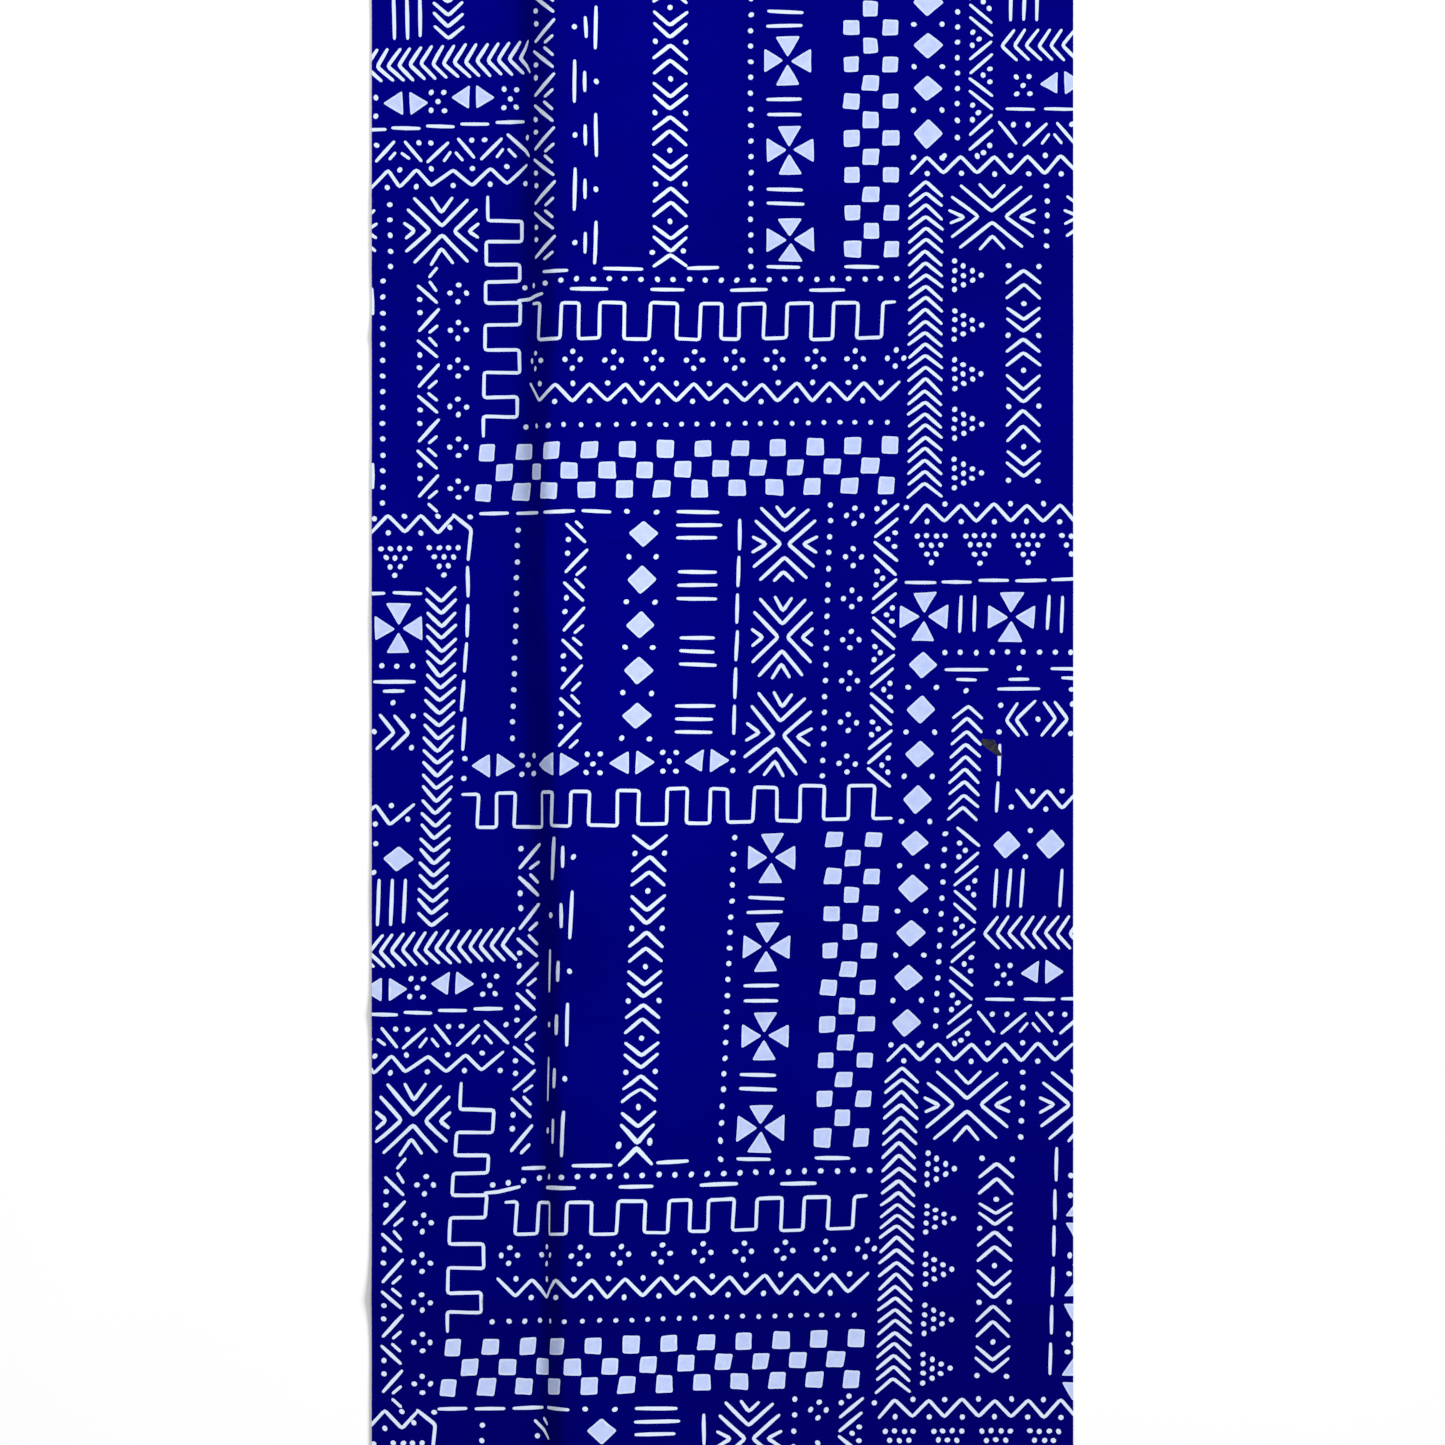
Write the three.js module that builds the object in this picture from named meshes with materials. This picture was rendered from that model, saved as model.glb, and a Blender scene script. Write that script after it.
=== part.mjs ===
// A cut length of printed cotton cloth, laid flat, with one long soft fold down its left part
// and a few shallow creases across it. One sheet, one closed solid.
// Millimetres. +Z up, +Y towards the top end of the length, origin under the middle of the sheet.
import * as THREE from "three";

// Driving sizes.
const LENGTH = 1000;
const WIDTH = 478;
const THICKNESS = 1.2;

// The long fold is a ridge. From the left it has a low foot, a steep flank that ends at a round
// crest, and a long run-out. The foot takes its share of the height and the flank the rest.
const FOLD_FOOT = 66;
const FOOT_SHARE = 0.25;
const FOLD_RUN_OUT = 130;

// The fold from the bottom end to the top end: y along the length, x of the crest across it, the
// crest's height, and the flank's width.
const FOLD_CREST = [
  { y: -500, x: -106.7, height: 6.6, flank: 18 },
  { y: -404, x: -106.7, height: 6.8, flank: 18 },
  { y: -312, x: -106.7, height: 6.6, flank: 18 },
  { y: -223, x: -109.0, height: 7.0, flank: 17 },
  { y: -97, x: -108.5, height: 10.0, flank: 20 },
  { y: -52, x: -110.8, height: 10.4, flank: 21 },
  { y: -22, x: -113.5, height: 10.4, flank: 21 },
  { y: 111, x: -118.6, height: 10.2, flank: 20 },
  { y: 172, x: -117.0, height: 10.0, flank: 20 },
  { y: 288, x: -111.2, height: 10.8, flank: 26 },
  { y: 424, x: -113.5, height: 11.0, flank: 27 },
  { y: 500, x: -114.2, height: 11.0, flank: 27 },
];

// Creases across the sheet: the line stands at y, runs from one x to the other, leans by the given
// amount over the sheet's width, and fades out over its reach above and below the line.
const CREASES = [
  { name: "upper middle", y: 326, from: -112, to: 110, lean: 4, height: 1.1, above: 26, below: 14 },
  { name: "upper left", y: 264, from: -260, to: -158, lean: 2, height: 0.9, above: 16, below: 12 },
  { name: "upper right", y: 262, from: 84, to: 260, lean: 10, height: 1.0, above: 20, below: 14 },
  { name: "middle short", y: 124, from: -98, to: -20, lean: 2, height: 0.8, above: 16, below: 12 },
  { name: "middle right", y: 96, from: -54, to: 260, lean: 3, height: 1.1, above: 24, below: 16 },
  { name: "centre", y: -73, from: -112, to: 122, lean: 3, height: 1.2, above: 30, below: 24 },
  { name: "lower middle", y: -197, from: -260, to: 260, lean: 4, height: 1.2, above: 26, below: 18 },
  { name: "lower sharp", y: -394, from: -260, to: 260, lean: -3, height: 2.2, above: 34, below: 26 },
];
const CREASE_FADE = 34;

// Columns of the mesh in each strip across the sheet, and the spacing of its rows.
const COLUMNS = { leftFlat: 3, foot: 7, flank: 12, runOut: 13, rightFlat: 6 };
const ROW_GAP = 46;
const CREASE_ROWS = [-1, -0.5, -0.16, 0.08, 0.42, 1];

function smooth(t) {
  const k = Math.min(Math.max(t, 0), 1);
  return k * k * (3 - 2 * k);
}

// The crest's place and height and the flank's width at y, eased between the table's stations.
function crestAt(y) {
  const last = FOLD_CREST.length - 2;
  let i = 0;
  while (i < last && y > FOLD_CREST[i + 1].y) i += 1;
  const a = FOLD_CREST[i];
  const b = FOLD_CREST[i + 1];
  const t = smooth((y - a.y) / (b.y - a.y));
  const ease = (column) => a[column] + (b[column] - a[column]) * t;
  return { x: ease("x"), height: ease("height"), flank: ease("flank") };
}

function foldHeight(x, y) {
  const crest = crestAt(y);
  const u = x - crest.x;
  if (u > 0) return crest.height * smooth(1 - u / FOLD_RUN_OUT);
  const foot = FOOT_SHARE * Math.max(1 + u / FOLD_FOOT, 0) ** 2;
  return crest.height * (foot + (1 - FOOT_SHARE) * smooth(1 + u / crest.flank));
}

function creaseHeight(crease, x, y) {
  const v = y - crease.y - (crease.lean * x) / WIDTH;
  const reach = v > 0 ? crease.above : crease.below;
  const across = Math.max(1 - Math.abs(v) / reach, 0) ** 2;
  const ends = smooth((x - crease.from) / CREASE_FADE) * smooth((crease.to - x) / CREASE_FADE);
  return crease.height * across * ends;
}

// Height of the cloth above where it would lie flat.
function lift(x, y) {
  return CREASES.reduce((sum, crease) => sum + creaseHeight(crease, x, y), foldHeight(x, y));
}

// Upward unit normal of the lifted sheet.
function normalAt(x, y) {
  const d = 0.5;
  const dx = (lift(x + d, y) - lift(x - d, y)) / (2 * d);
  const dy = (lift(x, y + d) - lift(x, y - d)) / (2 * d);
  return new THREE.Vector3(-dx, -dy, 1).normalize();
}

function spread(from, to, count) {
  return Array.from({ length: count }, (_, i) => from + ((to - from) * i) / count);
}

// Row places along the length: close together at each crease, wide apart between them.
function rowPlaces() {
  const half = LENGTH / 2;
  const near = CREASES.flatMap((c) => CREASE_ROWS.map((k) => c.y + k * (k < 0 ? c.below : c.above)));
  const stations = FOLD_CREST.slice(1, -1).map((row) => row.y);
  const wanted = [-half, ...[...near, ...stations].sort((a, b) => a - b), half];
  const rows = [-half];
  for (const y of wanted.slice(1)) {
    const from = rows[rows.length - 1];
    const steps = Math.ceil((y - from) / ROW_GAP);
    if (y - from < 2.5 && y < half) continue;
    rows.push(...spread(from, y, steps).slice(1), y);
  }
  return rows;
}

// Column places at one row: they follow the fold, so its crest is always on a column.
function columnPlaces(y) {
  const fold = crestAt(y);
  const crest = fold.x;
  const foot = crest - FOLD_FOOT;
  const flank = crest - fold.flank;
  const end = crest + FOLD_RUN_OUT;
  return [
    ...spread(-WIDTH / 2, foot, COLUMNS.leftFlat),
    ...spread(foot, flank, COLUMNS.foot),
    ...spread(flank, crest, COLUMNS.flank),
    ...spread(crest, end, COLUMNS.runOut),
    ...spread(end, WIDTH / 2, COLUMNS.rightFlat),
    WIDTH / 2,
  ];
}

// The sheet: an upper and a lower skin, each half a thickness from the middle, and four edges.
function sheetGeometry() {
  const rows = rowPlaces();
  const across = columnPlaces(0).length;
  const count = rows.length * across;
  const upper = [];
  const lower = [];
  for (const y of rows) {
    for (const x of columnPlaces(y)) {
      const atEdge = Math.abs(x) > WIDTH / 2 - 1e-6 || Math.abs(y) > LENGTH / 2 - 1e-6;
      const normal = atEdge ? new THREE.Vector3(0, 0, 1) : normalAt(x, y);
      const middle = new THREE.Vector3(x, y, lift(x, y) + THICKNESS / 2);
      upper.push(...middle.clone().addScaledVector(normal, THICKNESS / 2).toArray());
      lower.push(...middle.clone().addScaledVector(normal, -THICKNESS / 2).toArray());
    }
  }

  const index = [];
  const quad = (a, b, c, d) => index.push(a, b, c, a, c, d);
  for (let j = 0; j + 1 < rows.length; j += 1) {
    for (let i = 0; i + 1 < across; i += 1) {
      const a = j * across + i;
      quad(a, a + 1, a + across + 1, a + across);
      quad(a + count, a + count + across, a + count + across + 1, a + count + 1);
    }
    const left = j * across;
    const right = left + across - 1;
    quad(left + count, left, left + across, left + across + count);
    quad(right, right + count, right + across + count, right + across);
  }
  const top = (rows.length - 1) * across;
  for (let i = 0; i + 1 < across; i += 1) {
    quad(i + count, i + count + 1, i + 1, i);
    quad(top + i, top + i + 1, top + i + 1 + count, top + i + count);
  }

  const geometry = new THREE.BufferGeometry();
  geometry.setAttribute("position", new THREE.Float32BufferAttribute([...upper, ...lower], 3));
  geometry.setIndex(index);
  geometry.computeVertexNormals();
  return geometry;
}

const cotton = new THREE.MeshStandardMaterial({ name: "cotton", color: 0x010078, roughness: 0.9, metalness: 0 });
const cloth = new THREE.Mesh(sheetGeometry(), cotton);
cloth.name = "cloth";

const group = new THREE.Group();
group.name = "cloth_length";
group.add(cloth);

export default group;
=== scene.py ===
"""A cut length of printed cotton cloth, laid flat, with one long soft fold and shallow creases.

The cloth is one thin sheet. Its print is charted on the flat cloth in steps, a fixed number to one
repeat of the design, as on squared paper: x counts from the left edge and y down the length.
The charted marks are cut into the sheet's own mesh, and the mesh is then laid over the folds.
"""
import math
import random

import bpy
import numpy as np
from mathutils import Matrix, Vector, geometry


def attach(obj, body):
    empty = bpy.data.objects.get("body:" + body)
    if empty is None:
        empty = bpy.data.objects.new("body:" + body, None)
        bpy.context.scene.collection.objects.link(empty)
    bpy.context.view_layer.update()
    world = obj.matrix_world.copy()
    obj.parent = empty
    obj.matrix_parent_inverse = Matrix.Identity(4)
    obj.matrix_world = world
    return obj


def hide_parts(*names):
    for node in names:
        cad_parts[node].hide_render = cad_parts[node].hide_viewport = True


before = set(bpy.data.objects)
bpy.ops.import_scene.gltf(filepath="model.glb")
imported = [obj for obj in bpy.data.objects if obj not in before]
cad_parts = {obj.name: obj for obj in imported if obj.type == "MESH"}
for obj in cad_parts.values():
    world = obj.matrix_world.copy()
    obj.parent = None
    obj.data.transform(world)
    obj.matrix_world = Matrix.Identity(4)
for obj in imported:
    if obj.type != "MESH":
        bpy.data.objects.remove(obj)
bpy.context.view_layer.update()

# Sizes of the cloth, in metres.
REPEAT = 0.610
REPEAT_STEPS = 895
STEP = REPEAT / REPEAT_STEPS
LENGTH = 1.0
SEEN_WIDTH = 0.478
TUCK = 0.0068
FLAT_WIDTH = SEEN_WIDTH + TUCK
THICKNESS = 0.0004
THREAD_PAIR = 0.0007
TOP_STEPS = 12

# The long fold: a low foot, a steep flank up to the crest, and a long run-out on the right. The
# foot takes its share of the height and the flank the rest.
FOLD_FOOT = 0.066
FOOT_SHARE = 0.25
FOLD_RUN_OUT = 0.130

# The print is closed up a little on the flank, by TUCK over this width.
GATHER_WIDTH = 0.0168

# The fold from the bottom end to the top end: where its crest stands, how high it is, how wide its
# flank is, and where the closing up of the print starts.
FOLD_CREST = (
    {"y": -0.500, "x": -0.1067, "height": 0.0066, "flank": 0.018, "tuck": -0.1234},
    {"y": -0.404, "x": -0.1067, "height": 0.0068, "flank": 0.018, "tuck": -0.1231},
    {"y": -0.312, "x": -0.1067, "height": 0.0066, "flank": 0.018, "tuck": -0.1233},
    {"y": -0.223, "x": -0.1090, "height": 0.0070, "flank": 0.017, "tuck": -0.1239},
    {"y": -0.097, "x": -0.1085, "height": 0.0100, "flank": 0.020, "tuck": -0.1246},
    {"y": -0.052, "x": -0.1108, "height": 0.0104, "flank": 0.021, "tuck": -0.1256},
    {"y": -0.022, "x": -0.1135, "height": 0.0104, "flank": 0.021, "tuck": -0.1304},
    {"y": 0.111, "x": -0.1186, "height": 0.0102, "flank": 0.020, "tuck": -0.1320},
    {"y": 0.172, "x": -0.1170, "height": 0.0100, "flank": 0.020, "tuck": -0.1313},
    {"y": 0.288, "x": -0.1112, "height": 0.0108, "flank": 0.026, "tuck": -0.1340},
    {"y": 0.424, "x": -0.1135, "height": 0.0110, "flank": 0.027, "tuck": -0.1357},
    {"y": 0.500, "x": -0.1142, "height": 0.0110, "flank": 0.027, "tuck": -0.1364},
)

# Creases across the cloth: a line at y from one x to the other, leaning by "lean" over the width,
# and fading out over its reach above and below the line.
CREASES = (
    {"y": 0.326, "x0": -0.112, "x1": 0.110, "lean": 0.004, "height": 0.0011, "above": 0.026, "below": 0.014},
    {"y": 0.264, "x0": -0.260, "x1": -0.158, "lean": 0.002, "height": 0.0009, "above": 0.016, "below": 0.012},
    {"y": 0.262, "x0": 0.084, "x1": 0.260, "lean": 0.010, "height": 0.0010, "above": 0.020, "below": 0.014},
    {"y": 0.124, "x0": -0.098, "x1": -0.020, "lean": 0.002, "height": 0.0008, "above": 0.016, "below": 0.012},
    {"y": 0.096, "x0": -0.054, "x1": 0.260, "lean": 0.003, "height": 0.0011, "above": 0.024, "below": 0.016},
    {"y": -0.073, "x0": -0.112, "x1": 0.122, "lean": 0.003, "height": 0.0012, "above": 0.030, "below": 0.024},
    {"y": -0.197, "x0": -0.26, "x1": 0.26, "lean": 0.004, "height": 0.0012, "above": 0.026, "below": 0.018},
    {"y": -0.394, "x0": -0.26, "x1": 0.26, "lean": -0.003, "height": 0.0022, "above": 0.034, "below": 0.026},
)
CREASE_FADE = 0.034

# Slight unevenness of the whole sheet: waves across x and y, in waves a metre, and their height.
RIPPLES = (
    {"x": 9.0, "y": 4.0, "turn": 0.4, "height": 0.00022},
    {"x": -5.0, "y": 11.0, "turn": 2.1, "height": 0.00018},
    {"x": 17.0, "y": -7.0, "turn": 4.4, "height": 0.00010},
    {"x": 6.0, "y": 21.0, "turn": 1.3, "height": 0.00008},
)

# How the print lies on this cloth, by blocks of columns. At each row "y" a block moves right by
# "shift" steps and down by "drop", its rows rise by "tilt" steps over the block's width, and its
# part right of STRETCH_FROM is drawn out by "stretch" steps over that width.
LEANS = {
    "left": {
        "y": (640, 1130, 1160, 1190, 1204, 1235, 1261),
        "shift": (0, -29.4, -31.2, -33, -33.8, -35.7, -36),
        "drop": (0, 0, -6, -7, -7.5, -2, 0),
    },
    "centre": {
        "y": (303, 513, 850, 1000, 1100, 1158, 1168, 1240, 1290, 1345, 1420),
        "shift": (0, -7, -17, -23.5, -28, -31.1, -31.6, -35, -37, -39, -43.5),
        "tilt": (0, 0, 0, 0, 1.5, 5.6, 6.3, 5, 3.6, 2, 1),
        "stretch": (0, 0, 0, 0, 0, 0, 8.5, 8.5, 3, 0, 0),
    },
    "ticks": {
        "y": (240, 800, 850, 890, 925, 945, 1080, 1095, 1150),
        "shift": (0, -19, -24.5, -25.7, -26, -26.2, -31.2, -32, -34.5),
        "tilt": (0, 0, 32, 22, 5, 0, 0, 9, 9),
    },
    "first": {
        "y": (240, 800, 850, 890, 925, 1105, 1125, 1150),
        "shift": (0, -19, -21.5, -23.5, -25, -32.2, -33, -34),
        "tilt": (0, 0, 17, 13, 0, 0, 16, 16),
    },
    "near": {
        "y": (303, 513, 800, 830, 890, 940, 1085, 1100, 1140, 1160, 1345, 1420),
        "shift": (0, -7, -18, -19.5, -22, -24, -30.3, -31, -33.2, -34.4, -44, -49.5),
        "tilt": (0, 0, 0, 9, 8, 0, 0, 8, 8, 0, 0, 0),
    },
    "right": {
        "y": (570, 1060, 1130, 1160, 1220, 1260, 1400),
        "shift": (0, -23.5, -25.6, -26.6, -28.1, -29, -32),
        "drop": (0, 0, 0, -4, -4, 0, 0),
    },
}
STRETCH_FROM = 230
BLOCK_STEPS = 530

# The design comes again "down" steps lower, and "more" steps further at the chart's rows "y".
COPIES = (
    {"down": -886, "y": (900, 960, 1000, 1045), "more": (0, -2.5, -4, -1)},
    {"down": 0, "y": (0, 1), "more": (0, 0)},
    {"down": 886, "y": (200, 240, 265, 290, 304, 340), "more": (0, 4.5, 10.5, 12.5, 13.5, 9)},
)

# The brush, in chart steps: how wide its strokes are, the radius of a dot, the paler rim of a filled
# shape, and how much a stroke's bends are rounded at most. A stroke's sides waver once in every
# STROKE_PART. Its ends are END_SHARE as wide as the rest and reach out by CAP of its width.
STROKE = 3.65
THIN_STROKE = 3.35
DOT = 2.7
RIM = 2.6
BEND = 2.6
STROKE_PART = 11
END_SHARE = 0.8
CAP = 0.42
DOT_CORNERS = 8

# A window keeps the marks whose middles lie between two rows of the chart. This one keeps them all.
ALL_ROWS = (-1e9, 1e9)

# How finely the mesh follows the folds: rows down the cloth, rows at each crease as shares of its
# reach, and columns in each strip across.
ROWS = 90
CREASE_ROWS = (-1, -0.6, -0.3, -0.1, 0, 0.1, 0.3, 0.6, 1)
COLUMNS = {"left": 5, "foot": 10, "flank": 18, "run_out": 14, "right": 20}


def smooth(t):
    k = np.clip(t, 0, 1)
    return k * k * (3 - 2 * k)


# The cloth's shape.

def fold_at(y):
    """The fold at y: its crest's place and height, its flank's width, and the tuck's place."""
    found = []
    for column in ("x", "height", "flank", "tuck"):
        value = np.zeros_like(y)
        for low, high in zip(FOLD_CREST, FOLD_CREST[1:]):
            value += (high[column] - low[column]) * smooth((y - low["y"]) / (high["y"] - low["y"]))
        found.append(value + FOLD_CREST[0][column])
    return found


def lift(x, y):
    """Height of the cloth above the surface that it lies on."""
    crest, height, flank, _ = fold_at(y)
    u = x - crest
    foot = np.clip(1 + u / FOLD_FOOT, 0, 1) ** 2
    steep = FOOT_SHARE * foot + (1 - FOOT_SHARE) * smooth(1 + u / flank)
    z = height * np.where(u < 0, steep, smooth(1 - u / FOLD_RUN_OUT))
    for crease in CREASES:
        v = y - crease["y"] - crease["lean"] * x / SEEN_WIDTH
        reach = np.where(v > 0, crease["above"], crease["below"])
        ends = smooth((x - crease["x0"]) / CREASE_FADE) * smooth((crease["x1"] - x) / CREASE_FADE)
        z = z + crease["height"] * np.clip(1 - np.abs(v) / reach, 0, 1) ** 2 * ends
    for wave in RIPPLES:
        phase = 2 * math.pi * (wave["x"] * x + wave["y"] * y) + wave["turn"]
        z = z + wave["height"] * (1 + np.sin(phase)) / 2
    return z


def laid(s, t):
    """Points of the cloth's middle layer for flat places s across and t down it."""
    y = LENGTH / 2 - t
    tuck = fold_at(y)[3]
    gathered = TUCK * smooth((s - SEEN_WIDTH / 2 - tuck) / GATHER_WIDTH)
    x = s - SEEN_WIDTH / 2 - gathered
    return np.stack([x, y, lift(x, y) + THICKNESS / 2], 1)


def normals(points):
    """Upward unit normals of the lifted sheet at the given points."""
    d = 0.0004
    x, y = points[:, 0], points[:, 1]
    slope_x = (lift(x + d, y) - lift(x - d, y)) / (2 * d)
    slope_y = (lift(x, y + d) - lift(x, y - d)) / (2 * d)
    up = np.stack([-slope_x, -slope_y, np.ones_like(x)], 1)
    return up / np.linalg.norm(up, axis=1, keepdims=True)


# The marks of the print. Each is an outline in chart steps, drawn a little unevenly, as by hand.

def rounded(a, b, c, cut):
    """Three points that round the corner b on the way from a to c."""
    into = b + (a - b) / np.linalg.norm(a - b) * cut
    out = b + (c - b) / np.linalg.norm(c - b) * cut
    return [into, b * 0.5 + (into + out) * 0.25, out]


class Chart:
    """The marks of one repeat."""

    def __init__(self, seed):
        self.marks = []
        self.draw = random.Random(seed)
        self.block = "left"
        self.pen = STROKE
        self.window = ALL_ROWS

    def about(self, amount):
        return self.draw.uniform(-amount, amount)

    def add(self, outline, kind):
        middle = sum(p[1] for p in outline) / len(outline)
        if self.window[0] <= middle <= self.window[1]:
            self.marks.append({"outline": outline, "kind": kind, "block": self.block})

    def dot(self, x, y, size=DOT):
        """A small round spot, slightly oval."""
        x, y = x + self.about(0.5), y + self.about(0.5)
        long, turn = 1 + self.about(0.12), self.draw.uniform(0, math.pi)
        c, s = math.cos(turn), math.sin(turn)
        outline = []
        for i in range(DOT_CORNERS):
            a = 2 * math.pi * i / DOT_CORNERS
            u, v = size * long * math.cos(a), size / long * math.sin(a)
            outline.append((x + u * c - v * s, y + u * s + v * c))
        self.add(outline, "line")

    def stroke(self, *points, width=None):
        """A brush stroke through the points, with round ends and bends."""
        width = width or self.pen
        path = [np.array(p, float) + (self.about(0.6), self.about(0.6)) for p in points]
        if len(path) > 2:
            path = self.bend(path)
        line = [path[0]]
        for a, b in zip(path, path[1:]):
            parts = max(1, round(float(np.linalg.norm(b - a)) / STROKE_PART))
            line += [a + (b - a) * (i + 1) / parts for i in range(parts)]
        left, right = [], []
        for i, p in enumerate(line):
            ahead, behind = line[min(i + 1, len(line) - 1)], line[max(i - 1, 0)]
            way = (ahead - behind) / max(float(np.linalg.norm(ahead - behind)), 1e-9)
            side = np.array((-way[1], way[0])) * width / 2
            end = i in (0, len(line) - 1)
            left.append(p + side * (END_SHARE if end else 1 + self.about(0.1)))
            right.append(p - side * (END_SHARE if end else 1 + self.about(0.1)))
            reach, half = way * width * CAP, side * CAP
            if i == 0:
                start = [p - reach - half, p - reach + half]
            if i == len(line) - 1:
                finish = [p + reach + half, p + reach - half]
        self.add([tuple(p) for p in start + left + finish + right[::-1]], "line")

    def bend(self, path):
        """The path with each inner corner rounded."""
        line = [path[0]]
        for a, b, c in zip(path, path[1:], path[2:]):
            cut = min(BEND, float(np.linalg.norm(a - b)) / 3, float(np.linalg.norm(c - b)) / 3)
            line += rounded(a, b, c, cut)
        return line + [path[-1]]

    def patch(self, *corners, rounding=2.0):
        """A filled shape with straight sides and rounded corners."""
        points = [np.array(p, float) + (self.about(0.8), self.about(0.8)) for p in corners]
        outline = []
        for a, b, c in zip(points[-1:] + points[:-1], points, points[1:] + points[:1]):
            outline += rounded(a, b, c, rounding)
            outline.append((outline[-1] + c) / 2 + (self.about(0.3), self.about(0.3)))
        self.add([tuple(p) for p in outline], "patch")

    # Motifs.

    def square(self, x, y, wide=16.5, high=16.5):
        w, h = (wide + self.about(1)) / 2, (high + self.about(1)) / 2
        skew = self.about(0.7) + 0.3
        self.patch((x - w + skew, y - h), (x + w + skew, y - h), (x + w - skew, y + h), (x - w - skew, y + h))

    def diamond(self, x, y, wide=30, high=28):
        w, h = (wide + self.about(1.5)) / 2, (high + self.about(1.5)) / 2
        self.patch((x, y - h), (x + w, y), (x - 1, y + h), (x - w, y))

    def four_dots(self, x, y):
        for dx, dy in ((0, -8), (-8, 0), (8, 0), (0, 8)):
            self.dot(x + dx, y + dy)

    def five_dots(self, x, y):
        for dx, dy in ((-6.5, -9), (6.5, -9), (0, 0), (-6.5, 9), (6.5, 9)):
            self.dot(x + dx, y + dy)

    def dot_triangle(self, x, y, down=True):
        """Rows of four, three, two and one dots, to a point below or on the right."""
        for row in range(4):
            for i in range(4 - row):
                along, deep = (i - (3 - row) / 2) * 9.4, row * 9.0
                self.dot(x + (along if down else deep), y + (deep if down else along))

    def cross(self, x, y, wide=47, high=49):
        """Four triangles with their points to the middle."""
        w, h, gap = wide / 2, high / 2, 3.4
        for turn, reach in ((0, w), (1, h), (2, w), (3, h)):
            c, s = (1, 0, -1, 0)[turn], (0, 1, 0, -1)[turn]
            corners = ((gap, 0), (reach, -12.3), (reach, 12.3))
            self.patch(*[(x + u * c - v * s, y + u * s + v * c) for u, v in corners], rounding=2.2)

    def triangle_pair(self, x, y, down=False):
        """Two triangles back to back, from the place given on, along the row or down the column."""
        for corners in (((0, 1), (19, -12), (19, 12)), ((26, -12), (45, 0), (26, 12))):
            self.patch(*[self.place(x, y, u, v, down) for u, v in corners])

    def star(self, x, y, wide, high, ends=4, sides=12, turn=0):
        """Four large and four small angles set point to point, like a snow star.

        The large angles' points stand off the middle by "ends" up and down, by "sides" across.
        """
        w, h = wide / 2, high / 2
        c, s = math.cos(math.radians(turn)), math.sin(math.radians(turn))
        for v in (-1, 1):
            angles = (
                ((-0.74 * w, 0.96 * v * h), (0, v * ends), (0.7 * w, 0.92 * v * h)),
                ((-0.28 * w, v * h), (0, v * (ends + 13.5)), (0.28 * w, 0.98 * v * h)),
                ((0.93 * v * w, -0.62 * h), (v * sides, 0), (0.95 * v * w, 0.6 * h)),
                ((v * w, -0.2 * h), (v * (sides + 14.5), 0), (0.98 * v * w, 0.2 * h)),
            )
            for angle in angles:
                self.stroke(*[(x + p * c - q * s, y + p * s + q * c) for p, q in angle])

    def triad(self, x, y, mirrored, across=False):
        """A long bar, a short one and a dot, side by side."""
        for at, half in ((0, 20), (10, 9), (21, 0)):
            u = at if mirrored else 21 - at
            ends = ((x + u, y - half), (x + u, y + half))
            if across:
                ends = ((x - half, y + u), (x + half, y + u))
            if half:
                self.stroke(*ends)
            else:
                self.dot(*ends[0])

    # Runs of motifs down a column or along a row.

    def dots(self, x, y, count, dx=0.0, dy=0.0, size=DOT):
        for i in range(count):
            self.dot(x + i * dx, y + i * dy, size)

    def bars(self, x, y, count, pitch, length, down=False, rise=0.0):
        """Dashes along a row, or down a column."""
        for i in range(count):
            size = length * (1 + self.about(0.06))
            if down:
                u, v = x + i * rise, y + i * pitch
                self.stroke((u, v), (u, v + size))
            else:
                u, v = x + i * pitch, y + i * rise
                self.stroke((u, v), (u + size, v + self.about(0.8)))

    def angles(self, x, y, count, dx, dy, arm, spread):
        """A close run of angles: arm is the way from the point to the middle of the open side."""
        for i in range(count):
            px, py = x + i * dx, y + i * dy
            sx, sy = -arm[1] / math.hypot(*arm) * spread, arm[0] / math.hypot(*arm) * spread
            a, b = 1 + self.about(0.08), 1 + self.about(0.08)
            first = (px + arm[0] * a + sx, py + arm[1] * a + sy)
            last = (px + arm[0] * b - sx, py + arm[1] * b - sy)
            self.stroke(first, (px, py), last)

    def place(self, x, y, u, v, down):
        return (x + v, y + u) if down else (x + u, y + v)

    def zigzag(self, x, y, count, half, high=18, rise=0.0, up=True):
        """A zigzag along a row, with a dot in each bend. It starts low if up is true."""
        self.uneven_zigzag(x, y, (half,) * count, high, rise, up)

    def uneven_zigzag(self, x, y, halves, high=18, rise=0.0, up=True):
        """A zigzag whose strokes are as wide as listed."""
        nodes = []
        for i in range(len(halves) + 1):
            low = (i % 2 == 0) == up
            u = x + sum(halves[:i]) + self.about(0.8)
            v = y + i * rise + (high if low else 0) + self.about(0.8)
            nodes.append((u, v))
            if 0 < i < len(halves):
                self.dot(u, y + i * rise + (0 if low else high))
        self.stroke(*nodes, width=THIN_STROKE)

    def battlement(self, x, y, flats, deep, down=False, drift=0.0):
        """A square wave with flats of the listed sizes, drawn by hand and so uneven."""
        nodes, u = [], 0.0
        for i, size in enumerate(flats):
            v = (deep if i % 2 else 0) + drift * u + self.about(0.8)
            nodes += [self.place(x, y, u, v, down), self.place(x, y, u + size, v, down)]
            u += size
        self.stroke(*nodes, width=THIN_STROKE)

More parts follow.
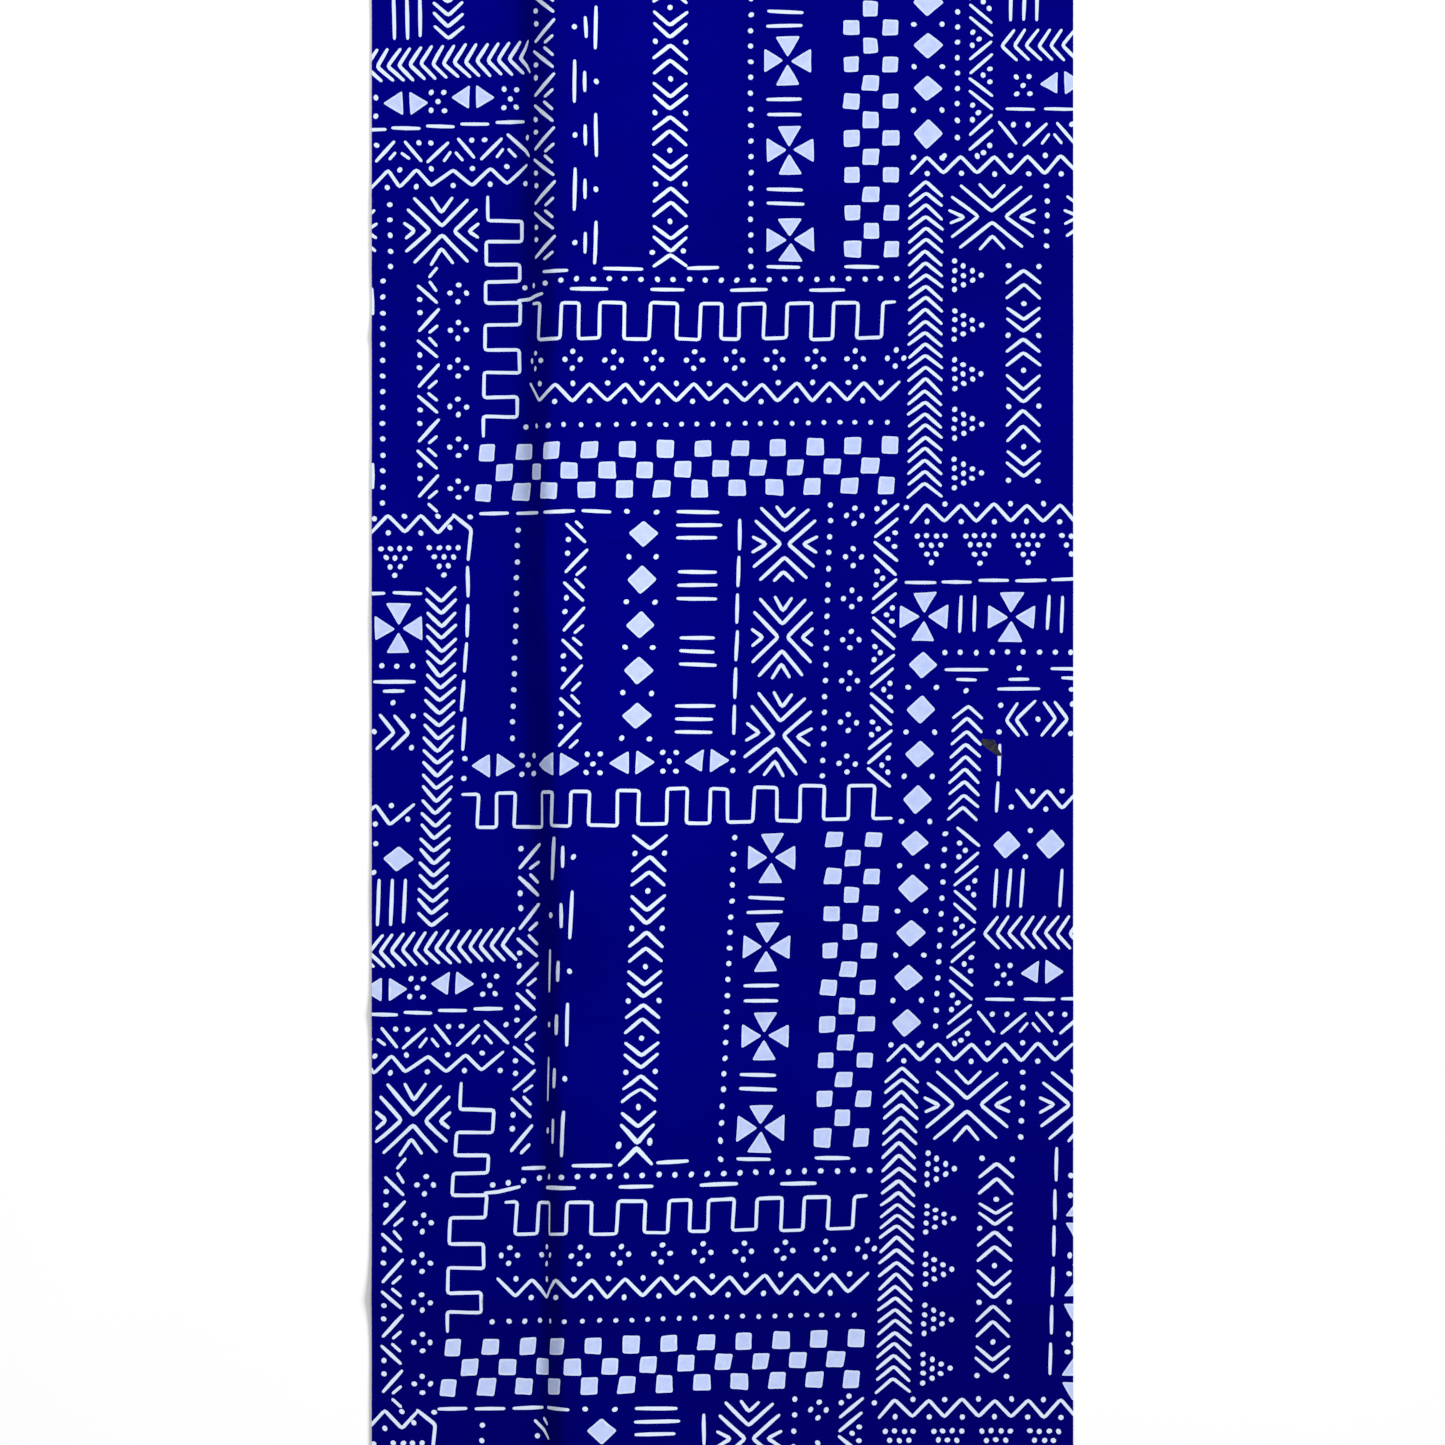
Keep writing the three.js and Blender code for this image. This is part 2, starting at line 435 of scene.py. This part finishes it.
    def ticks(self, x, y, count, pitch, down=True, rise=0.0):
        """A broken zigzag, with two dots in one kind of bend and two short strokes in the other."""
        k = pitch / 55
        strokes = ((0, 0, 16, 18.5), (24, 20, 44.5, 1), (40.5, 18.5, 46.5, 11.5), (52.5, 11, 59, 18))
        for i in range(count):
            at, lower = i * pitch, i * rise
            for u0, v0, u1, v1 in strokes:
                ends = ((at + u0 * k, lower + v0), (at + u1 * k, lower + v1))
                self.stroke(*[self.place(x, y, u, v, down) for u, v in ends])
            for u in (14, 27):
                self.dot(*self.place(x, y, at + u * k, lower + 1.5, down))

    def double_slashes(self, x, y, count, pitch):
        """Pairs of slashes leaning to and fro down a column, with three dots in each bend."""
        for i in range(count):
            top = y + i * pitch
            for u, side in ((0, 1), (13.8, 1), (38, -1), (51, -1)):
                self.stroke((x - 10.5, top + u + 9 * side), (x + 10.5, top + u - 9 * side))
            for u, side in ((25.5, 1), (64, -1)):
                for dx, dy in ((8.5, -6.8), (2.2, 0), (8.5, 6.8)):
                    self.dot(x + dx * side, top + u + dy)

    def diamonds_of_angles(self, x, y, count, pitch, down=True):
        """Angles pointing away from a dot both ways, with a pair of dots where two points meet."""
        k = pitch / 73
        for i in range(count):
            at = i * pitch
            self.dot(*self.place(x, y, at, 0, down))
            for tip, tail in ((18, 5), (30.5, 17), (38, 52), (53, 67)):
                arms = [self.place(x, y, at + tail * k, v, down) for v in (-16, 16)]
                self.stroke(arms[0], self.place(x, y, at + tip * k, 0, down), arms[1])
            for v in (-15, 15):
                self.dot(*self.place(x, y, at + 34.5 * k, v, down))

    def diamond_column(self, x, y, count, pitch):
        """Filled diamonds down a column with a pair of dots between them."""
        for i in range(count):
            self.diamond(x, y + i * pitch)
            self.dots(x - 14, y + (i + 0.5) * pitch, 2, dx=28)


def left_block(c):
    """Columns at the left edge, down one repeat."""
    c.block = "left"
    for x, top, foot in ((22.5, -6, 38), (36, -6, 37), (48, -6, 35)):
        c.stroke((x - 0.5, top), (x, foot))
    c.angles(-5.5, 66.5, 15, 11.0, -0.6, arm=(12.5, -1.5), spread=15.5)
    c.triangle_pair(12, 102)
    c.triangle_pair(79, 96.5)
    for x, y in ((-2.5, 106), (66, 101), (138.5, 98)):
        c.five_dots(x, y)
    c.bars(-13, 129, 5, 34.6, 26.5, rise=-1.8)
    c.dot(5, 144.7)
    c.stroke((4.5, 160), (22.5, 141))
    c.stroke((18, 157.5), (23.5, 152.5))
    c.stroke((30.5, 152.5), (36.5, 157))
    c.ticks(33.5, 141, 2, 53, down=False, rise=-3)
    c.stroke((137, 134.5), (155, 151), (160, 156))
    c.dot(157, 137.5)
    c.dot(154.5, 183)
    c.uneven_zigzag(0, 170.5, (16, 12.5, 15.5, 16, 22, 18.5, 17, 17.5, 21), high=17, rise=-0.5)
    c.star(70, 230, 73, 66)
    c.star(-33, 230, 76, 66)
    c.dots(18.5, 204, 5, dy=15.5)
    c.dots(11, 280.5, 15, dy=15.8)
    c.bars(0.5, 288, 2, 176, 24, down=True)
    c.stroke((65, 268), (58, 276))
    c.stroke((59, 282), (64.5, 289))
    c.ticks(46.5, 285, 4, 55.2)
    for i in range(6):
        c.four_dots(86.5, 292.5 + 39.1 * i - 4 * math.sin(math.pi * i / 5))
    flats = (23.5, 20.5, 22.5, 17.5, 21.5, 21.5, 25.5, 22.5, 24.5, 19.5, 19)
    c.battlement(116, 197, flats, 34, down=True, drift=-0.02)
    c.stroke((147, 300), (160, 299), (180, 294))
    c.zigzag(-1, 515, 5, 16.6, high=17)
    c.stroke((82, 514), (100, 529), (97, 558))
    c.dot(98.5, 516)
    c.dot(78, 527)
    c.dot(2.5, 517.5)
    c.dot_triangle(23.5, 548)
    c.dot_triangle(72, 547)
    c.bars(96.4, 567, 4, 37.8, 28.5, down=True, rise=-0.75)
    c.bars(97.4, 718.2, 1, 0, 28.5, down=True)
    c.dots(100.5, 758, 2, dy=19.5)
    c.bars(-13, 593, 2, 35.5, 26.5, rise=-0.6)
    c.angles(69, 600.5, 27, 0.3, 12.5, arm=(0, -13.5), spread=13.8)
    c.cross(27, 627.5)
    c.dots(11.5, 665, 3, dx=15.5)
    c.triad(25, 680.5, mirrored=True, across=True)
    c.dot(8, 731)
    for x in (28, 43):
        c.stroke((x - 15, 715), (x, 732), (x - 16, 748))
    c.dots(46, 715.5, 2, dy=31.5)
    c.uneven_zigzag(-5, 804.5, (19, 16, 22), high=19)
    c.dot(46.5, 818.5)
    c.diamond(40, 858)
    c.dots(16, 843, 2, dy=29)


def centre_top(c):
    """Wide-set columns from the top of a repeat."""
    c.block = "ticks"
    c.window = (-35, 267)
    c.ticks(173, -55, 6, 53.8)
    c.block = "first"
    c.window = (-56, 267)
    for i in range(6):
        c.triad(213.5, -24 + 53.6 * i, mirrored=i % 2 == 0)
    c.block = "centre"
    c.dots(389, -49, 21, dy=15.75)
    for i, x in enumerate((427, 425.5, 428, 428.5)):
        c.cross(x, -29 + 89.3 * i, high=49 if i < 3 else 43)
    for y in (11, 25, 98.5, 113.5, 189, 202.5):
        c.bars(406.5, y, 1, 0, 33)
    for i in range(17):
        for x in ((489, 528) if i % 2 == 0 else (508,)):
            c.square(x + i * 0.1, -47.5 + 18.5 * i, wide=15.6, high=15.6)
    c.block = "near"
    c.window = (-46, 246)
    c.diamonds_of_angles(308.5, -63, 5, 71.2)
    c.window = ALL_ROWS
    c.stroke((292, 266), (308, 255), (324.5, 266))
    c.dots(291, 252.5, 2, dx=31, dy=-2)


def centre_rows(c):
    """Rows across the middle of a repeat."""
    c.block = "centre"
    for x, y, size in ((183, 272, 23), (243, 270, 37), (326, 268, 30), (406, 266.3, 31), (484, 266, 31)):
        c.bars(x, y, 1, 0, size)
    c.dots(153, 287, 4, dx=15.7, dy=-1.8)
    c.dots(215.7, 280, 21, dx=15.95, dy=-0.1)
    c.bars(210, 290.5, 4, 79.8, 33, rise=-0.5)
    flats = (10.5, 22, 18, 20.5, 24, 26, 27, 23, 21.5, 17.5, 25, 22.5, 24.5, 21.5, 24.5, 25, 12)
    c.battlement(168, 304, flats, 36, drift=-0.007)
    for i in range(10):
        c.four_dots(173 + 40.3 * i, 361 - 0.4 * i)
    c.zigzag(163, 384, 22, 17.1, high=18, rise=-0.12, up=False)
    c.dots(159, 426.5, 3, dx=16.3, dy=-0.5)
    c.dots(206.5, 425, 5, dx=17.4, dy=-0.2, size=2.45)
    c.dots(292, 424, 16, dx=15.8, dy=-0.2, size=2.45)
    for x, y, count in ((120, 452, 12), (138, 472, 11), (118, 492, 12)):
        for i in range(count):
            c.square(x + 37.5 * i + math.sin(math.pi * i / count), y - 0.7 * i)


def centre_foot(c):
    """Columns in the lower part of a repeat, with a closing row."""
    c.block = "near"
    c.bars(115.5, 513, 4, 37.8, 27, rise=-0.6)
    c.dots(272, 511.5, 2, dx=30)
    c.stroke((223, 522), (228.5, 527.5))
    c.window = (-1e9, 748)
    c.ticks(213.5, 525, 4, 57.6)
    c.window = ALL_ROWS
    for i in range(5):
        c.diamond(290, 533.5 + 45.4 * i)
        c.dots(275.5, 556 + 45.4 * i, 2, dx=28)
    for x, y, size in ((323.5, 511.3, 40), (327, 571, 37), (331, 637, 34), (329.5, 705, 37)):
        for k in range(3):
            c.bars(x, y + 13.2 * k, 1, 0, size)
    c.block = "centre"
    c.dots(154, 529, 14, dy=16)
    c.bars(385.5, 519, 6, 37.3, 27, down=True)
    c.star(430.5, 543.4, 63, 73.5, ends=13.5, sides=4)
    c.star(431, 636.5, 60, 80, ends=12.5, sides=4.5)
    c.star(430, 733.5, 64, 82, ends=13.5, sides=4.5, turn=5)
    c.dots(475.5, 504, 18, dy=15.95)
    for i in range(7):
        c.four_dots(499.5, 515 + 41.3 * i)
    c.dot(529.5, 501)
    c.dot(522, 508)
    c.window = (500, 786)
    c.double_slashes(532, 513, 4, 75.2)
    c.window = ALL_ROWS
    for i in range(4):
        c.triangle_pair(113.5 + 74.3 * i, 764.5 - 1.6 * i)
    for i in range(3):
        c.five_dots(171 + 75.5 * i, 764 - 1.6 * i)
    c.dots(385, 752, 2, dy=18)
    flats = (15, 18.5, 18.5, 29, 18.5, 18.5, 18.5, 28, 21.5, 28, 20, 23, 17.5, 26, 23, 23.5, 23.5, 25, 25, 18)
    c.battlement(107, 792.5, flats, 34, drift=-0.02)


def right_block(c):
    """Columns at the right edge, down one repeat from its middle."""
    c.block = "right"
    c.pen = THIN_STROKE
    c.angles(564, 180.5, 27, -0.05, 11.6, arm=(0, 13.5), spread=16)
    c.star(630, 216, 84, 64, ends=5.5, sides=13)
    c.star(745, 216, 84, 64, ends=5.5, sides=13)
    c.dots(685, 185, 5, dy=15)
    for i in range(5):
        c.dot_triangle(592.5, 274.5 + 49.5 * i, down=False)
    c.window = (262, 488)
    for top, pitch in ((231.5, 71.5), (303, 66.5), (369.5, 76.5), (446, 71.5)):
        c.diamonds_of_angles(661.5, top, 1, pitch)
    c.window = ALL_ROWS
    c.bars(721, 256, 6, 38.5, 28, down=True, rise=-0.3)
    for i in range(3):
        c.five_dots(743, 290 + 78.5 * i)
        c.triangle_pair(743, 303 + 78.5 * i, down=True)
    c.dot(544, 506.5)
    c.zigzag(549, 503, 12, 16.5)
    for i in range(4):
        c.dot_triangle(569.5 + 48.3 * i, 535)
    c.bars(544.5, 581.5, 5, 36.7, 28, rise=-0.7)
    for x in (564, 651.5):
        c.cross(x, 616)
        c.bars(x + 36.5, 596, 1, 0, 33, down=True)
        c.bars(x + 50.5, 596, 1, 0, 33, down=True)
    c.dots(586.5, 651.5, 9, dx=15.8)
    c.triad(609.5, 669, mirrored=True, across=True)
    c.triad(662, 667, mirrored=False, across=True)
    c.triad(715, 667.5, mirrored=True, across=True)
    c.diamond_column(566, 664, 9, 44.7)
    c.angles(612.5, 704.5, 9, 0, 12.7, arm=(0, 13), spread=14)
    c.stroke((662, 703), (651, 719), (664, 734))
    c.diamonds_of_angles(683.5, 718, 1, 70, down=False)
    c.stroke((679, 700), (661, 718.5), (673, 733))
    c.dots(645, 704, 2, dy=27.5)
    c.bars(646.5, 745, 2, 36.5, 28, down=True)
    c.dot(661, 806.5)
    c.zigzag(665, 790, 4, 15.5, up=False)
    c.diamond(658, 843.5)
    c.diamond(702.5, 843.5)
    c.dots(681, 829.5, 2, dx=-3.5, dy=26.5)
    c.dots(595.5, 833, 13, dy=16)
    c.window = (829, 1041)
    c.double_slashes(619, 785, 4, 76.2)
    c.window = ALL_ROWS
    for x in (649.5, 663, 675.5, 715):
        c.stroke((x, 869), (x - 1, 905))
    c.angles(640, 932.5, 8, 12.1, 0.0, arm=(12.5, -1), spread=15.5)
    c.five_dots(661, 973.5)
    c.triangle_pair(677, 971)
    c.bars(645.5, 998, 3, 37.6, 28)
    c.ticks(637, 1011.5, 2, 58.5, down=False)
    c.zigzag(549, 1042, 11, 16.7)
    upper = ((628, 738), (641, 739), (645, 748), (650, 755.5))
    lower = ((645, 755), (639.5, 751.5), (632.5, 747), (627.5, 742))
    c.add(upper + lower, "stain")


def charted_marks():
    """Every mark of the print on this length, as flat outlines in metres."""
    chart = Chart(seed=7)
    for part in (left_block, centre_top, centre_rows, centre_foot, right_block):
        part(chart)
    found = []
    for copy in COPIES:
        for mark in chart.marks:
            if mark["kind"] == "stain" and copy["down"]:
                continue
            x, y = np.array(mark["outline"]).T
            y = y + copy["down"] + np.interp(y, copy["y"], copy["more"])
            lean = LEANS[mark["block"]]
            by_row = {name: np.interp(y, lean["y"], lean[name]) for name in lean if name != "y"}
            y = y + by_row.get("drop", 0) - by_row.get("tilt", 0) * x / BLOCK_STEPS
            drawn_out = np.clip(x - STRETCH_FROM, 0, None) / BLOCK_STEPS
            x = x + by_row["shift"] + by_row.get("stretch", 0) * drawn_out
            s, t = x * STEP, (y + TOP_STEPS) * STEP
            if s.max() < 0 or s.min() > FLAT_WIDTH or t.max() < 0 or t.min() > LENGTH:
                continue
            found.append({"outline": np.stack([s, t], 1), "kind": mark["kind"]})
    return found


# The mesh.

def relief_places():
    """Flat places that carry the folds: a coarse grid, finer across the fold and at the creases."""
    rows = set(np.linspace(0, LENGTH, ROWS))
    for crease in CREASES:
        for k in CREASE_ROWS:
            rows.add(LENGTH / 2 - crease["y"] - k * (crease["above"] if k > 0 else crease["below"]))
    places = []
    for t in sorted(rows):
        x, _, width, _ = (float(v[0]) for v in fold_at(np.array([LENGTH / 2 - t])))
        crest = x + SEEN_WIDTH / 2
        foot, flank, end = crest - FOLD_FOOT, crest - width, crest + TUCK + FOLD_RUN_OUT
        across = [
            *np.linspace(0, foot, COLUMNS["left"], endpoint=False),
            *np.linspace(foot, flank, COLUMNS["foot"], endpoint=False),
            *np.linspace(flank, crest + TUCK, COLUMNS["flank"], endpoint=False),
            *np.linspace(crest + TUCK, end, COLUMNS["run_out"], endpoint=False),
            *np.linspace(end, FLAT_WIDTH, COLUMNS["right"]),
        ]
        places += [(s, t) for s in across]
    return places


def inset(outline, depth):
    """The outline drawn in towards its middle by about the given depth."""
    middle = outline.mean(0)
    away = outline - middle
    far = np.linalg.norm(away, axis=1, keepdims=True)
    return middle + away * np.maximum(1 - depth / far, 0.25)


def cut_sheet():
    """Triangles of the flat cloth that follow the outline of every mark."""
    places = relief_places()
    faces = [[len(places) + i for i in range(4)]]
    kinds = ["sheet"]
    places = places + [(0, 0), (FLAT_WIDTH, 0), (FLAT_WIDTH, LENGTH), (0, LENGTH)]
    for mark in charted_marks():
        rings = [(mark["outline"], mark["kind"])]
        if mark["kind"] == "patch":
            rings.append((inset(mark["outline"], RIM * STEP), "core"))
        for ring, kind in rings:
            x, y = ring.T
            if (x * np.roll(y, -1) - y * np.roll(x, -1)).sum() < 0:
                ring = ring[::-1]
            faces.append([len(places) + i for i in range(len(ring))])
            kinds.append(kind)
            places += [tuple(p) for p in ring]
    points, _, triangles, _, _, sources = geometry.delaunay_2d_cdt(places, [], faces, 0, 1e-7, True)
    kept, found = [], []
    for triangle, source in zip(triangles, sources):
        over = {kinds[i] for i in source}
        if "sheet" in over:
            kept.append(triangle)
            found.append(over)
    return np.array([tuple(p) for p in points]), kept, found


def facing_up(flat, triangles):
    """The triangles turned to face up, and the flat places that they use."""
    a, b, c = (flat[triangles[:, i]] for i in range(3))
    turn = (b - a)[:, 0] * (c - a)[:, 1] - (b - a)[:, 1] * (c - a)[:, 0]
    # Flat places run down the cloth, so a triangle that turns one way on the chart faces down.
    triangles[turn > 0] = triangles[turn > 0][:, ::-1]
    used = np.unique(triangles)
    renumber = np.full(len(flat), -1)
    renumber[used] = np.arange(len(used))
    return flat[used], renumber[triangles]


def rim_of(triangles, count):
    """Faces from the upper skin's rim down to the lower skin's, and the triangle beside each."""
    edges = np.concatenate([triangles[:, [0, 1]], triangles[:, [1, 2]], triangles[:, [2, 0]]])
    owner = np.tile(np.arange(len(triangles)), 3)
    _, first, uses = np.unique(np.sort(edges, 1), axis=0, return_index=True, return_counts=True)
    rim = edges[first[uses == 1]]
    faces = np.stack([rim[:, 1], rim[:, 0], rim[:, 0] + count, rim[:, 1] + count], 1)
    return faces, owner[first[uses == 1]]


def add_maps(mesh, place, on_print):
    """The map that the weave follows, and the map named OFBake, with the ground and the marks side by side.
    """
    weave = mesh.uv_layers.new(name="weave")
    weave.data.foreach_set("uv", place.ravel())
    # The ground lies in the left half of the OFBake map and the marks in the right half.
    half = np.stack([place[:, 0] / FLAT_WIDTH * 0.49 + 0.004 + 0.5 * on_print, 1 - place[:, 1] / LENGTH], 1)
    baked = mesh.uv_layers.new(name="OFBake")
    baked.data.foreach_set("uv", (half * (1, 0.996) + (0, 0.002)).ravel())
    mesh.uv_layers.active = baked


def make_cloth():
    """The sheet: an upper skin, a lower skin and a rim, with the print cut into all three."""
    flat, triangles, over = cut_sheet()
    flat, triangles = facing_up(flat, np.array(triangles))
    middle = laid(flat[:, 0], flat[:, 1])
    up = normals(middle)
    count = len(flat)
    points = np.concatenate([middle + up * THICKNESS / 2, middle - up * THICKNESS / 2])
    rim, rim_owner = rim_of(triangles, count)
    faces = [*triangles.tolist(), *(triangles[:, ::-1] + count).tolist(), *rim.tolist()]

    mesh = bpy.data.meshes.new("cloth_sheet")
    mesh.from_pydata(points.tolist(), [], faces)
    for material in (ground_material(), print_material(), stain_material()):
        mesh.materials.append(material)
    slot = [2 if "stain" in o else 1 if o & {"line", "patch"} else 0 for o in over]
    slots = slot + slot + [slot[i] for i in rim_owner]
    mesh.polygons.foreach_set("material_index", slots)

    core = np.zeros(count)
    inner = np.array(["core" in o for o in over])
    core[np.unique(triangles[inner])] = 1
    layer = mesh.attributes.new("core", "FLOAT", "POINT")
    layer.data.foreach_set("value", np.concatenate([core, core]))

    corners = np.empty(len(mesh.loops), int)
    mesh.loops.foreach_get("vertex_index", corners)
    on_print = np.repeat(np.array(slots) > 0, [len(face) for face in faces])
    add_maps(mesh, np.concatenate([flat, flat])[corners], on_print)

    mesh.polygons.foreach_set("use_smooth", [True] * (2 * len(triangles)) + [False] * len(rim))
    # The two skins are shaded by their own normals. A normal of zero leaves the rim flat.
    both = np.concatenate([up, -up])[corners]
    both[6 * len(triangles):] = 0
    mesh.normals_split_custom_set(both.tolist())
    mesh.validate()
    cloth = bpy.data.objects.new("printed_cloth", mesh)
    bpy.context.collection.objects.link(cloth)
    return cloth


# Materials.

class Nodes:
    """A material's nodes, made in short lines."""

    def __init__(self, name, roughness):
        self.material = bpy.data.materials.new(name)
        self.material.use_nodes = True
        self.tree = self.material.node_tree
        self.shader = self.tree.nodes["Principled BSDF"]
        self.shader.inputs["Roughness"].default_value = roughness
        self.shader.inputs["Specular IOR Level"].default_value = 0.01

    def make(self, kind, **values):
        node = self.tree.nodes.new(kind)
        for name, value in values.items():
            setattr(node, name, value)
        return node

    def link(self, out, to):
        self.tree.links.new(out, to)

    def math(self, operation, a, b=None):
        node = self.make("ShaderNodeMath", operation=operation)
        for socket, value in zip(node.inputs, (a, b)):
            if value is None:
                continue
            if isinstance(value, (int, float)):
                socket.default_value = value
            else:
                self.link(value, socket)
        return node.outputs[0]

    def flat_place(self):
        node = self.make("ShaderNodeUVMap", uv_map="weave")
        parts = self.make("ShaderNodeSeparateXYZ")
        self.link(node.outputs["UV"], parts.inputs[0])
        return node.outputs["UV"], parts.outputs["X"], parts.outputs["Y"]

    def noise(self, vector, scale, detail=2.0):
        node = self.make("ShaderNodeTexNoise")
        self.link(vector, node.inputs["Vector"])
        node.inputs["Scale"].default_value = scale
        node.inputs["Detail"].default_value = detail
        return node.outputs["Fac"]

    def ramp(self, value, low, high, to_low, to_high):
        node = self.make("ShaderNodeMapRange", clamp=True)
        self.link(value, node.inputs["Value"])
        for name, number in zip(("From Min", "From Max", "To Min", "To Max"), (low, high, to_low, to_high)):
            node.inputs[name].default_value = number
        return node.outputs["Result"]

    def mix(self, factor, a, b):
        node = self.make("ShaderNodeMix", data_type="RGBA")
        self.link(factor, node.inputs["Factor"])
        for socket, value in ((node.inputs[6], a), (node.inputs[7], b)):
            if isinstance(value, tuple):
                socket.default_value = (*value, 1)
            else:
                self.link(value, socket)
        return node.outputs[2]

    def scaled(self, colour, factor):
        node = self.make("ShaderNodeVectorMath", operation="SCALE")
        self.link(colour, node.inputs[0])
        self.link(factor, node.inputs["Scale"])
        return node.outputs[0]

    def weave(self, vector, x, y, depth):
        """Plain weave: threads over and under, uneven in height, as bump."""
        across = self.math("SINE", self.math("MULTIPLY", x, 2 * math.pi / THREAD_PAIR))
        down = self.math("SINE", self.math("MULTIPLY", y, 2 * math.pi / THREAD_PAIR))
        crossing = self.math("MULTIPLY", across, down)
        slub = self.noise(vector, 900, 3)
        height = self.math("ADD", self.math("MULTIPLY", crossing, 0.5), slub)
        bump = self.make("ShaderNodeBump")
        bump.inputs["Strength"].default_value = 1
        bump.inputs["Distance"].default_value = depth
        self.link(height, bump.inputs["Height"])
        self.link(bump.outputs["Normal"], self.shader.inputs["Normal"])
        return crossing, slub


# Painted shade on the ground: its colour is darkened towards the bottom end, and these soft bands of painted
# shade across it are darker, or painted light where "depth" is below zero. "down" is the middle of the band.
PAINTED_SHADING_BANDS = (
    {"down": 0.185, "half": 0.085, "depth": 0.10},
    {"down": 0.655, "half": 0.055, "depth": 0.06},
    {"down": 0.735, "half": 0.050, "depth": -0.07},
    {"down": 0.925, "half": 0.060, "depth": 0.05},
)


def ground_material():
    """Deep ultramarine cotton, with painted shade towards the bottom end and in bands across it."""
    n = Nodes("ultramarine_ground", roughness=0.9)
    vector, x, y = n.flat_place()
    crossing, slub = n.weave(vector, x, y, 0.00006)
    violet = n.ramp(x, 0.60 * FLAT_WIDTH, FLAT_WIDTH, 0.0, 1.0)
    colour = n.mix(violet, (0.00015, 0.00010, 0.190), (0.0007, 0.00010, 0.190))
    # Painted shade: the colour is darkened towards the bottom end and in soft bands across, with painted
    # light in the band whose depth is below zero.
    tone = n.ramp(y, 0.52, 0.98, 1.0, 0.71)
    for band in PAINTED_SHADING_BANDS:
        away = n.math("ABSOLUTE", n.math("SUBTRACT", y, band["down"]))
        soft = n.make("ShaderNodeMapRange", interpolation_type="SMOOTHSTEP")
        n.link(away, soft.inputs["Value"])
        soft.inputs["From Max"].default_value = band["half"]
        soft.inputs["To Min"].default_value = band["depth"]
        soft.inputs["To Max"].default_value = 0
        tone = n.math("SUBTRACT", tone, soft.outputs["Result"])
    cloudy = n.ramp(n.noise(vector, 22, 3), 0.3, 0.7, 0.94, 1.05)
    thread = n.ramp(n.math("ADD", crossing, slub), -0.5, 1.5, 0.9, 1.08)
    shade = n.math("MULTIPLY", n.math("MULTIPLY", cloudy, thread), tone)
    n.link(n.scaled(colour, shade), n.shader.inputs["Base Color"])
    return n.material


def print_material():
    """Bluish-white marks: filled shapes are lavender inside a whiter rim."""
    n = Nodes("pale_print", roughness=0.85)
    vector, x, y = n.flat_place()
    crossing, slub = n.weave(vector, x, y, 0.00005)
    core = n.make("ShaderNodeAttribute", attribute_name="core").outputs["Fac"]
    patchy = n.ramp(n.noise(vector, 160, 3), 0.3, 0.7, 0.65, 1.0)
    colour = n.mix(n.math("MULTIPLY", core, patchy), (0.685, 0.775, 0.94), (0.45, 0.54, 0.875))
    shade = n.ramp(n.math("ADD", crossing, slub), -0.5, 1.5, 0.95, 1.03)
    n.link(n.scaled(colour, shade), n.shader.inputs["Base Color"])
    return n.material


def stain_material():
    """A small dull smudge over the ground."""
    n = Nodes("dull_smudge", roughness=0.9)
    vector, x, y = n.flat_place()
    n.weave(vector, x, y, 0.00005)
    cloudy = n.ramp(n.noise(vector, 350, 3), 0.35, 0.65, 0, 1)
    colour = n.mix(cloudy, (0.012, 0.012, 0.045), (0.045, 0.044, 0.036))
    n.link(colour, n.shader.inputs["Base Color"])
    return n.material


def floor_material():
    n = Nodes("pale_floor", roughness=0.8)
    place = n.make("ShaderNodeTexCoord").outputs["Object"]
    tone = n.ramp(n.noise(place, 3.0), 0.3, 0.7, 0.0, 1.0)
    n.link(n.mix(tone, (0.95, 0.95, 0.96), (0.97, 0.97, 0.98)), n.shader.inputs["Base Color"])
    return n.material


# The stage, lights and camera.

def make_floor():
    size, drop = 16.0, 0.0003
    mesh = bpy.data.meshes.new("floor")
    corners = [(x * size, y * size, -drop) for x, y in ((-1, -1), (1, -1), (1, 1), (-1, 1))]
    mesh.from_pydata(corners, [], [(0, 1, 2, 3)])
    mesh.materials.append(floor_material())
    floor = bpy.data.objects.new("floor", mesh)
    bpy.context.collection.objects.link(floor)
    return floor


def aim(thing, place):
    thing.location = place
    back = -np.array(place) / np.linalg.norm(place)
    thing.rotation_euler = Vector(back.tolist()).to_track_quat("-Z", "Y").to_euler()


def make_light(name, kind, place, size, power):
    data = bpy.data.lights.new(name, kind)
    data.energy = power
    if kind == "SUN":
        data.angle = math.radians(size)
    else:
        data.size = size
    light = bpy.data.objects.new(name, data)
    bpy.context.collection.objects.link(light)
    aim(light, place)


def make_camera():
    """Straight above the cloth, taking in the photograph's square frame."""
    frame_pixels = 1445
    lens, sensor = 85.0, 36.0
    data = bpy.data.cameras.new("camera")
    data.lens = lens
    data.sensor_width = sensor
    camera = bpy.data.objects.new("camera", data)
    bpy.context.collection.objects.link(camera)
    camera.location = (0, 0, frame_pixels * STEP * lens / sensor)
    bpy.context.scene.camera = camera


make_camera()
cloth = make_cloth()
floor = make_floor()
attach(cloth, "root")
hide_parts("cloth")

make_light("key", "SUN", (1.9, 0.4, 0.82), size=18, power=3.7)
make_light("overhead", "AREA", (0.1, 0.75, 1.6), size=1.4, power=12)
scene = bpy.context.scene
scene.view_settings.view_transform = "Standard"
world = bpy.data.worlds.new("studio")
scene.world = world
world.use_nodes = True
world.node_tree.nodes["Background"].inputs["Color"].default_value = (1, 1, 1, 1)
world.node_tree.nodes["Background"].inputs["Strength"].default_value = 0.38
